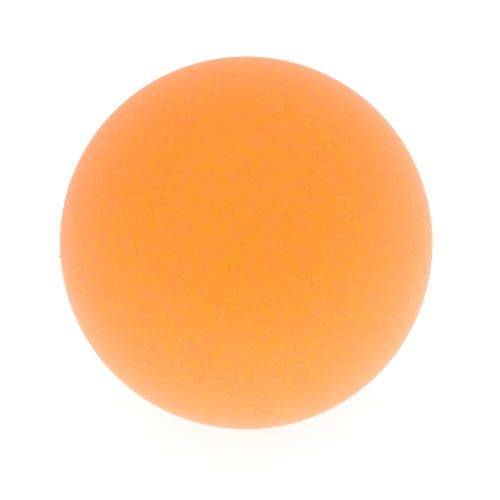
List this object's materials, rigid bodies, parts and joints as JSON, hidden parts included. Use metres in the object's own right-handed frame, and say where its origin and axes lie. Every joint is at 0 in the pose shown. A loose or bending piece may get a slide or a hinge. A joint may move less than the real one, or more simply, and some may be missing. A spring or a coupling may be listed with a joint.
{
  "type": "table tennis ball",
  "caption": "Hollow seamed table tennis ball: thin plastic half shells, lapped at the equator and closed by a ring of cement. Rolls and bounces as one rigid body.",
  "frame": {"origin": "centre of the ball", "axes": "+Z along the pole axis, square to the seam plane, towards the pole of the upper half shell (the one with the skirt). X and Y lie in the seam plane and are interchangeable."},
  "size_m": [0.04, 0.04, 0.04],
  "materials": {
    "shell_plastic": "matte",
    "seam_cement": "satin"
  },
  "bodies": {
    "root": {"upper_half_shell": "shell_plastic", "lower_half_shell": "shell_plastic", "seam_cement": "seam_cement"}
  },
  "joints": []
}
